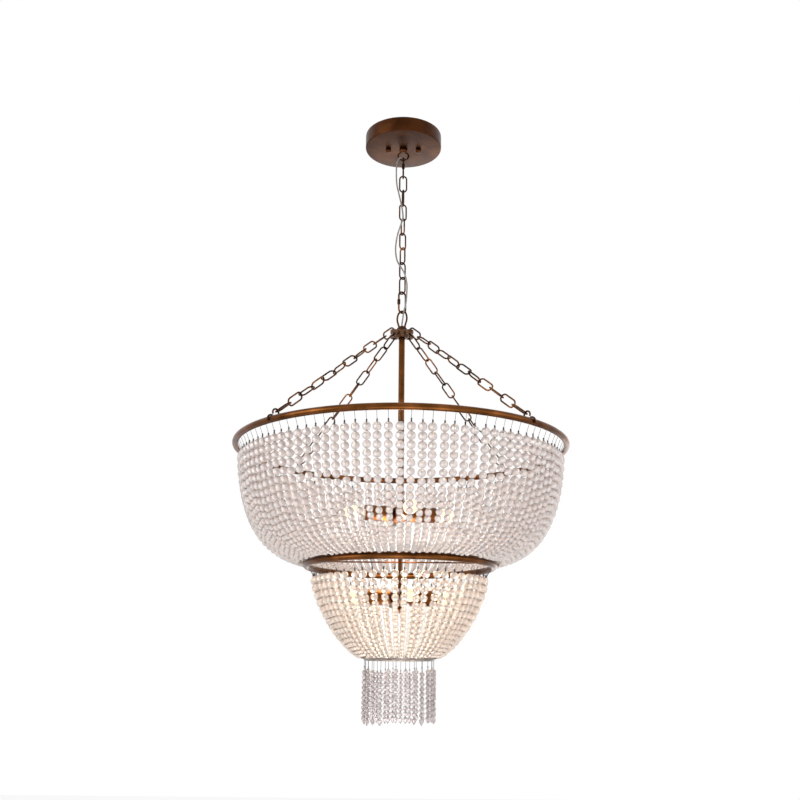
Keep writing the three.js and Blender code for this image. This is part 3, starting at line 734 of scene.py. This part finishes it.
def makeStem():
    low, high = lowAndHigh("stem_upper")
    outer = stem["radius"]
    bore = stem["bore"]
    tube = [(bore, low), (outer, low), (outer, high), (bore, high)]
    made = Shape(bronze)
    made.add(turned(softened(tube, stem["edge"], 2, closed=True), smallTurning, closed=True))
    made.piece("stem_tube", "fixture", ["stem_upper"], "bronze")
    paint("stem_lower", bronze)


makeHubLoop()
makeHubBody()
makeStem()
print("hub made")


# Rings


def ringAt(node):
    return {"radius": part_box(node)[1][0] - ringTube / 2, "height": sum(lowAndHigh(node)) / 2}


ringTube = 0.0115
tierHeight = 0.16  # from the bottom ring to the middle one
topRing = ringAt("top_ring")
middleRing = ringAt("middle_ring")
bottomRing = {"radius": 0.06, "wire": 0.0024, "height": middleRing["height"] - tierHeight}


def hoop(radius, height, wire, segments=200, sides=18, start=0.0, end=360.0):
    closed = end - start >= 360
    steps = segments if closed else segments + 1
    turns = [math.radians(start + (end - start) * i / segments) for i in range(steps)]
    path = [(radius * math.cos(t), radius * math.sin(t), height) for t in turns]
    return swept(path, wire, sides, closed)


def makeRings():
    for name, ring in (("top", topRing), ("middle", middleRing)):
        made = Shape(bronze)
        made.add(hoop(ring["radius"], ring["height"], ringTube / 2))
        made.piece(name + "_hoop", "fixture", [name + "_ring"], "bronze")
    paint("cross_rod", bronze)


makeRings()
print("rings made")


# Arm chains and the hooks on the top ring

hook = {
    "wire": 0.003,
    "curl": 0.006,
    "back": 0.005,
    "shank": 0.005,
    "mouth": -30,
    "end": 140,
    "bendSteps": 20,
}
armLink = {"pitch": 0.031, "lap": 0.0026, "twist": 9}


# A hook saddles the ring's tube, bends back up, and ends in an open curl, whose centre comes second
def hookBend():
    reach = ringTube / 2 + clearance + hook["wire"] / 2
    end = math.radians(hook["end"])
    back = Vector((math.cos(end), math.sin(end))) * (reach + hook["back"])
    curl = Vector((back.x - hook["back"] + hook["curl"], back.y + hook["shank"]))
    bent = arc((0, 0), reach, hook["mouth"], hook["end"], hook["bendSteps"])
    bent += arc(back, hook["back"], -80, -180, hook["bendSteps"] // 2)
    bent += arc(curl, hook["curl"], 180, hook["mouth"], hook["bendSteps"])
    return bent, curl


def makeArms():
    bent, curl = hookBend()
    bottom, top = lowAndHigh("hub")
    wall = Vector((hub["lugReach"] + (hub["lug"] + hub["eye"]) / 2, (bottom + top) / 2))
    far = Vector((topRing["radius"], topRing["height"])) + curl
    along = (far - wall).normalized()
    grip = math.hypot(hub["lugHeight"], hub["lug"] - hub["eye"]) / 2 + clearance + link["wire"] / 2
    near = wall - along * grip
    far -= along * (hook["curl"] - hook["wire"] / 2 - clearance - link["wire"] / 2)
    span = (far - near).length
    count = round((span - armLink["lap"]) / armLink["pitch"])
    pitch = (span - armLink["lap"]) / count
    path, radii = chainLoop(pitch + armLink["lap"] + link["wire"])
    lean = math.atan2(near.x - far.x, near.y - far.y)
    start = Matrix.Translation((near.x, 0, near.y)) @ Matrix.Rotation(lean, 4, "Y")
    onRing = Matrix.Translation((topRing["radius"], 0, topRing["height"]))
    for i, turn in enumerate(armTurns):
        around = turnedAbout(turn)
        made = Shape(chainBronze)
        for k in range(count):
            at = around @ start @ upright(-k * pitch, k * (90 - armLink["twist"]))
            made.add(swept(path, radii, linkSides, closed=True), at)
        made.piece(f"arm_links_{i + 1}", "fixture", [f"arm_chain_{i + 1}"], "dark_bronze")
        made = Shape(chainBronze)
        made.add(swept(bent, hook["wire"] / 2, linkSides), around @ onRing)
        made.piece(f"hook_{i + 1}", "fixture", [f"ring_hook_{i + 1}"], "dark_bronze")


makeArms()
print("arms made")


# Bead strands. Handles are the two inner points of the curve that a strand follows, each as shares
# of the bowl's width and depth

upperStrands = {
    "name": "upper_beads",
    "node": "upper_strands",
    "slot": "frosted_glass",
    "glass": alabaster,
    "tieMetal": darkBronze,
    "count": 104,
    "bead": 0.0145,
    "lastBead": 0.0082,
    "pin": 0.0155,
    "inset": 0.0108,
    "tieWire": 0.0025,
    "firstTurn": 1.3,
    "stretches": 4,
    "handles": ((0.04, 0.45), (0.77, 0.065)),
    "uneven": 0.035,
    "stray": 0.08,
    "spacer": 0,
}
lowerStrands = {
    "name": "lower_beads",
    "node": "lower_strands",
    "slot": "cream_glass",
    "glass": cream,
    "tieMetal": ringSteel,
    "count": 54,
    "bead": 0.0134,
    "lastBead": 0.0074,
    "pin": 0.015,
    "inset": 0.014,
    "tieWire": 0.0019,
    "firstTurn": 90,
    "stretches": 2,
    "handles": ((0.028, 0.265), (0.527, 0.147)),
    "uneven": 0.03,
    "stray": 0.16,
    "spacer": 0.0015,
}
# Hole, flattened end, wobble and spacer length are shares of a bead's radius
bead = {
    "segments": 14,
    "rings": 9,
    "hole": 0.16,
    "end": 0.9,
    "wobble": 0.02,
    "spacerLength": 0.4,
}
knot = {"radius": 0.0015, "length": (0.005, 0.008), "share": (0.55, 0.85)}
pinWire = 0.0007
strandKinds = 6
tieRoom = 0.004  # bare wire between the last bead and the tie wire
outwards = Vector((1, 1)).normalized()


def bowlLine(top, bottom, handles, steps=160):
    width = top.x - bottom.x
    depth = top.y - bottom.y
    (a, b), (c, d) = handles
    one = Vector((top.x - width * a, top.y - depth * b))
    two = Vector((bottom.x + width * c, bottom.y + depth * d))
    line = []
    for i in range(steps + 1):
        t = i / steps
        s = 1 - t
        line.append(top * s**3 + one * 3 * s * s * t + two * 3 * s * t * t + bottom * t**3)
    return line


# Where beads of falling size sit along a line, each touching the last, as (centre, along, radius)
def beadPlaces(line, firstSize, lastSize):
    lengths = [0.0]
    for a, b in zip(line, line[1:]):
        lengths.append(lengths[-1] + (b - a).length)
    total = lengths[-1] - tieRoom

    def at(distance):
        k = next((i for i, walked in enumerate(lengths) if walked >= distance), len(line) - 1)
        k = max(k, 1)
        share = (distance - lengths[k - 1]) / (lengths[k] - lengths[k - 1])
        return line[k - 1].lerp(line[k], share), (line[k] - line[k - 1]).normalized()

    places = []
    walked = 0.0
    while True:
        share = min(walked / total, 1.0)
        size = firstSize + (lastSize - firstSize) * share**1.3
        if walked + size > total + tieRoom / 2:
            return places
        centre, along = at(walked + size / 2)
        places.append((centre, along, size / 2))
        walked += size


def beadShape(radius):
    hole = radius * bead["hole"]
    end = radius * bead["end"]
    turns = [math.pi * i / bead["rings"] for i in range(1, bead["rings"])]
    skin = [(radius * math.sin(turn), -radius * math.cos(turn)) for turn in turns]
    return turned([(hole, -end), *skin, (hole, end)], bead["segments"])


def wireKnot(radius, length):
    end = length / 2
    profile = [(0, -end), (radius, -end * 0.6), (radius * 0.8, 0), (radius, end * 0.6), (0, end)]
    return turned(profile, 6)


# One strand: its wire, its pin with the twisted knot, and its beads
def makeStrand(made, around, pin, wire, kinds, strand):
    made.add(swept(wire, pinWire / 2, pinSides), around, 1)
    made.add(swept(pin, pinWire / 2, pinSides), around, 1)
    onPin = Matrix.Translation(pin[1].lerp(pin[2], dice.uniform(*knot["share"])))
    made.add(wireKnot(knot["radius"], dice.uniform(*knot["length"])), around @ onPin, 1)
    for shape, centre, along, radius in dice.choice(kinds):
        lean = Matrix.Rotation(math.atan2(-along.x, -along.y), 4, "Y")
        spin = Matrix.Rotation(dice.uniform(0, 2 * math.pi), 4, "Z")
        aside = dice.uniform(-bead["wobble"], bead["wobble"]) * radius
        at = around @ Matrix.Translation((centre.x, aside, centre.y)) @ lean
        made.add(shape, at @ spin)
        if strand["spacer"]:
            spacer = wireKnot(strand["spacer"], radius * bead["spacerLength"])
            made.add(spacer, at @ upright(radius), 1)


def makeBowl(strand, ring, tie):
    top = Vector((ring["radius"] - strand["inset"], ring["height"] - ringTube / 2 - strand["pin"]))
    line = bowlLine(top, tie, strand["handles"])
    wire = [(p.x, 0, p.y) for p in line[::8]]  # a thin wire needs fewer points than the beads
    kinds = []
    middle = (strandKinds - 1) / 2
    for i in range(strandKinds):
        size = strand["bead"] * (1 + strand["uneven"] * (i - middle) / middle)
        places = beadPlaces(line, size, strand["lastBead"])
        kinds.append([(beadShape(place[2]), *place) for place in places])
    hang = Vector((ring["radius"], ring["height"])) - outwards * (ringTube / 2 + pinWire)
    # A pin leaves the ring at a slant, then hangs down to the first bead
    kink = Vector((top.x + (hang.x - top.x) * 0.3, top.y + (hang.y - top.y) * 0.4))
    pin = [Vector((p.x, 0, p.y)) for p in (hang, kink, top)]
    step = 360 / strand["count"]
    perStretch = strand["count"] // strand["stretches"]
    trim = math.degrees(clearance / 2 / tie.x)
    for i in range(strand["stretches"]):
        made = Shape(strand["glass"], pinSteel, strand["tieMetal"])
        start = strand["firstTurn"] + i * perStretch * step
        reach = (start + trim, start + perStretch * step - trim)
        made.add(hoop(tie.x, tie.y, strand["tieWire"] / 2, perStretch * 2, 8, *reach), slot=2)
        for k in range(perStretch):
            turn = start + (k + 0.5) * step + dice.uniform(-1, 1) * strand["stray"] * step
            makeStrand(made, turnedAbout(turn), pin, wire, kinds, strand)
        replaced = [f"{strand['node']}_{i + 1}"]
        made.piece(f"{strand['name']}_{i + 1}", "fixture", replaced, strand["slot"], crease=60)
    return len(kinds[0])


# A tie wire rests on the outer shoulder of the ring below it
def tieOn(ring, wire, strand):
    seat = (wire + strand["tieWire"]) / 2 + clearance
    return Vector((ring["radius"], ring["height"])) + outwards * seat


upperTie = tieOn(middleRing, ringTube, upperStrands)
beadCount = makeBowl(upperStrands, topRing, upperTie)
print("upper bowl made:", beadCount, "beads a strand")
lowerTie = tieOn(bottomRing, bottomRing["wire"], lowerStrands)
beadCount = makeBowl(lowerStrands, middleRing, lowerTie)
print("lower bowl made:", beadCount, "beads a strand")


# Crystal fringe

fringe = {
    "count": 26,
    "stray": 1.8,
    "lean": (-1.2, 0.6),
    "shift": (-0.006, 0.0008),
    "wireEnd": 0.02,
    "wireLength": 0.096,
    "length": 0.108,
    "bead": 0.0082,
    "pitch": 0.0083,
    "drop": 0.0125,
    "facets": 8,
    "knot": 0.001,
    "knotLength": 0.003,
    "knotShare": (0.55, 0.95),
}


def cutCrystal(radius, height):
    end = height / 2
    tip = radius * 0.25
    side = radius * 0.85
    profile = [(tip, -end), (side, -end * 0.55), (radius, 0), (side, end * 0.55), (tip, end)]
    return turned(profile, fringe["facets"])


def crystalDrop(radius, height):
    widest = (radius, -height * 0.3)
    profile = [(0, -height), (radius * 0.75, -height * 0.62), widest, (radius * 0.25, 0)]
    return turned(profile, fringe["facets"])


def makeFringe():
    radius = bottomRing["radius"]
    height = bottomRing["height"]
    made = Shape(crystal, pinSteel, ringSteel)
    made.add(hoop(radius, height, bottomRing["wire"] / 2, 96, 10), slot=2)
    stone = cutCrystal(fringe["bead"] / 2, fringe["pitch"] * 0.98)
    last = crystalDrop(fringe["bead"] / 2, fringe["drop"])
    wire = swept([(0, 0, 0), (0, 0, -fringe["wireLength"])], pinWire / 2, pinSides)
    count = int((fringe["length"] - fringe["wireEnd"] - fringe["drop"]) / fringe["pitch"])
    for i in range(fringe["count"]):
        turn = 360 * (i + 0.25) / fringe["count"] + dice.uniform(-fringe["stray"], fringe["stray"])
        lean = Matrix.Rotation(math.radians(dice.uniform(*fringe["lean"])), 4, "Y")
        around = turnedAbout(turn) @ Matrix.Translation((radius, 0, height)) @ lean
        first = -fringe["wireEnd"] - dice.uniform(*fringe["shift"])
        made.add(wire, around, 1)
        for k in range(count):
            at = around @ upright(first - (k + 0.5) * fringe["pitch"], dice.uniform(0, 45))
            made.add(stone, at)
        made.add(last, around @ upright(first - count * fringe["pitch"], dice.uniform(0, 45)))
        onWire = around @ upright(-fringe["wireEnd"] * dice.uniform(*fringe["knotShare"]))
        made.add(wireKnot(fringe["knot"], fringe["knotLength"]), onWire, 1)
    made.piece("crystal_strands", "fixture", ["crystal_fringe"], "clear_crystal", crease=8)


makeFringe()
print("fringe made")


# Lights inside the bowls

cluster = {"radius": 0.015, "half": 0.014, "turn": 12, "count": 4, "edge": 0.002}
socket = {
    "radius": 0.014,
    "length": 0.05,
    "throat": 0.0068,
    "depth": 0.022,
    "shoulder": 0.004,
    "rim": 0.006,
    "edge": 0.0012,
}
bulb = {
    "base": 0.0062,
    "tip": 0.002,
    "glass": 0.013,
    "length": 0.062,
    "edge": 0.006,
    "capEdge": 0.0006,
}
finial = {"radius": 0.006, "edge": 0.001}


def clusterShape():
    r = cluster["radius"]
    half = cluster["half"]
    lower = [(0, -half), (r * 0.55, -half), (r, -half * 0.7)]
    upper = [(r, half * 0.7), (r * 0.55, half), (0, half)]
    return turned(softened(lower + upper, cluster["edge"]), smallTurning)


def socketShape():
    r = socket["radius"]
    long = socket["length"]
    floor = long - socket["depth"]
    cup = [
        (0, 0),
        (r * 0.65, 0),
        (r, socket["shoulder"]),
        (r, long - socket["rim"]),
        (r, long),
        (socket["throat"], long),
        (socket["throat"], floor),
        (0, floor),
    ]
    return turned(softened(cup, socket["edge"]), smallTurning)


def bulbShapes():
    base = bulb["base"]
    glass = bulb["glass"]
    long = bulb["length"]
    capTop = socket["depth"] * 0.9
    cap = [(0, 0), (base * 0.5, 0), (base, bulb["tip"]), (base, capTop), (0, capTop)]
    torpedo = [
        (0, capTop),
        (base, capTop),
        (base, socket["depth"]),
        (glass * 0.86, long * 0.48),
        (glass, long * 0.6),
        (glass * 0.88, long * 0.78),
        (glass * 0.45, long * 0.95),
        (0, long),
    ]
    glassShape = turned(softened(torpedo, bulb["edge"], 4), 32)
    return glassShape, turned(softened(cap, bulb["capEdge"]), 24)


def makeLights():
    torpedo, cap = bulbShapes()
    cup = socketShape()
    sideways = Matrix.Rotation(math.pi / 2, 4, "Y")
    cupAt = cluster["radius"] + clearance
    bulbAt = cupAt + socket["length"] - socket["depth"] + clearance
    for tier in ("upper", "lower"):
        at = upright(sum(lowAndHigh(tier + "_cluster")) / 2, cluster["turn"])
        made = Shape(bronze)
        made.add(clusterShape(), at)
        made.piece(tier + "_hub_body", "fixture", [tier + "_cluster"], "bronze")
        for i in range(cluster["count"]):
            arm = at @ turnedAbout(360 * i / cluster["count"])
            made = Shape(bronze)
            made.add(cup, arm @ Matrix.Translation((cupAt, 0, 0)) @ sideways)
            made.piece(f"{tier}_cup_{i + 1}", "fixture", [f"{tier}_socket_{i + 1}"], "bronze")
            inside = arm @ Matrix.Translation((bulbAt, 0, 0)) @ sideways
            made = Shape(lamp, capNickel)
            made.add(torpedo, inside)
            made.add(cap, inside, 1)
            replaced = [f"{tier}_bulb_{i + 1}"]
            made.piece(f"{tier}_lamp_{i + 1}", "fixture", replaced, "bulb_glass", crease=50)


def makeFinial():
    low, high = lowAndHigh("finial")
    r = finial["radius"]
    tall = high - low
    tip = [
        (0, low),
        (r * 0.4, low + tall * 0.06),
        (r, low + tall * 0.5),
        (r * 0.55, low + tall * 0.8),
        (r * 0.6, high),
        (0, high),
    ]
    made = Shape(bronze)
    made.add(turned(softened(tip, finial["edge"]), smallTurning))
    made.piece("finial_tip", "fixture", ["finial"], "bronze")


makeLights()
makeFinial()
print("lights made")


# Studio

floorSheet = {"under": 1.6, "half": 14.0, "glow": 0.9}
areaLamps = [
    ("key", (-2.2, -1.3, -0.4), 1.4, 24),
    ("fill", (2.4, -1.2, -0.8), 1.8, 16),
    ("under", (0.2, -1.0, -1.8), 1.2, 10),
    ("back", (0.6, 2.2, -0.4), 1.8, 17),
]
aim = Vector((0, 0, -0.75))
bowlGlows = {"upper": 1.4, "lower": 0.18}
glowLamp = {"colour": (1.0, 0.82, 0.62), "size": 0.05, "under": 0.045}
roomLight = 0.53
view = {
    "lens": 45,
    "sensor": 36,
    "place": (-0.0025, -1.784, -1.047),
    "tilt": 105.67,
    "roll": 0.5,
}


def addToScene(name, data):
    made = bpy.data.objects.new(name, data)
    bpy.context.scene.collection.objects.link(made)
    return made


# 1 for what the camera sees, straight or through metal and glass
def seenDirectly(tree):
    path = addNode(tree, "ShaderNodeLightPath")
    seen = path.outputs["Is Camera Ray"]
    for key in ("Is Glossy Ray", "Is Transmission Ray"):
        inputs = {0: seen, 1: path.outputs[key]}
        seen = addNode(tree, "ShaderNodeMath", inputs, operation="MAXIMUM").outputs[0]
    return seen


def makeFloor():
    low = cadBounds[0][2] - floorSheet["under"]
    half = floorSheet["half"]
    corners = [(-half, -half, low), (half, -half, low), (half, half, low), (-half, half, low)]
    mesh = bpy.data.meshes.new("studio_floor")
    mesh.from_pydata(corners, [], [[0, 1, 2, 3]])
    material, tree, shader = newMaterial("pale floor", Base_Color=linear("#efedea"), Roughness=0.9)
    inputs = {0: seenDirectly(tree), 1: floorSheet["glow"]}
    share = addNode(tree, "ShaderNodeMath", inputs, operation="MULTIPLY").outputs[0]
    pale = addNode(tree, "ShaderNodeEmission", {"Color": grey(1), "Strength": 1.0}).outputs[0]
    mixed = addNode(tree, "ShaderNodeMixShader", {0: share, 1: shader.outputs[0], 2: pale})
    tree.links.new(mixed.outputs[0], tree.nodes["Material Output"].inputs["Surface"])
    mesh.materials.append(material)
    addToScene("studio_floor", mesh)


def makeLamps():
    for name, place, size, power in areaLamps:
        light = bpy.data.lights.new(name, "AREA")
        light.size = size
        light.energy = power
        lit = addToScene(name, light)
        lit.location = place
        lit.rotation_euler = (aim - Vector(place)).to_track_quat("-Z", "Y").to_euler()
    for tier, power in bowlGlows.items():
        light = bpy.data.lights.new(tier + "_glow", "POINT")
        light.energy = power
        light.color = glowLamp["colour"]
        light.shadow_soft_size = glowLamp["size"]
        lit = addToScene(tier + "_glow", light)
        lit.location = (0, 0, lowAndHigh(tier + "_cluster")[0] - glowLamp["under"])


def makeRoom():
    world = bpy.data.worlds.new("studio")
    world.use_nodes = True
    tree = world.node_tree
    tree.nodes.clear()
    inputs = {"Color": linear("#f4f2f0"), "Strength": roomLight}
    soft = addNode(tree, "ShaderNodeBackground", inputs).outputs[0]
    white = addNode(tree, "ShaderNodeBackground", {"Color": grey(1), "Strength": 1.0}).outputs[0]
    mixed = addNode(tree, "ShaderNodeMixShader", {0: seenDirectly(tree), 1: soft, 2: white})
    addNode(tree, "ShaderNodeOutputWorld", {"Surface": mixed.outputs[0]})
    bpy.context.scene.world = world


def makeView():
    camera = bpy.data.cameras.new("camera")
    camera.lens = view["lens"]
    camera.sensor_width = view["sensor"]
    viewer = addToScene("camera", camera)
    tilt = Matrix.Rotation(math.radians(view["tilt"]), 4, "X")
    roll = Matrix.Rotation(math.radians(view["roll"]), 4, "Z")
    viewer.matrix_world = Matrix.Translation(view["place"]) @ tilt @ roll
    bpy.context.scene.camera = viewer
    bpy.context.scene.view_settings.view_transform = "Standard"


makeFloor()
makeLamps()
makeRoom()
makeView()
print("studio made")
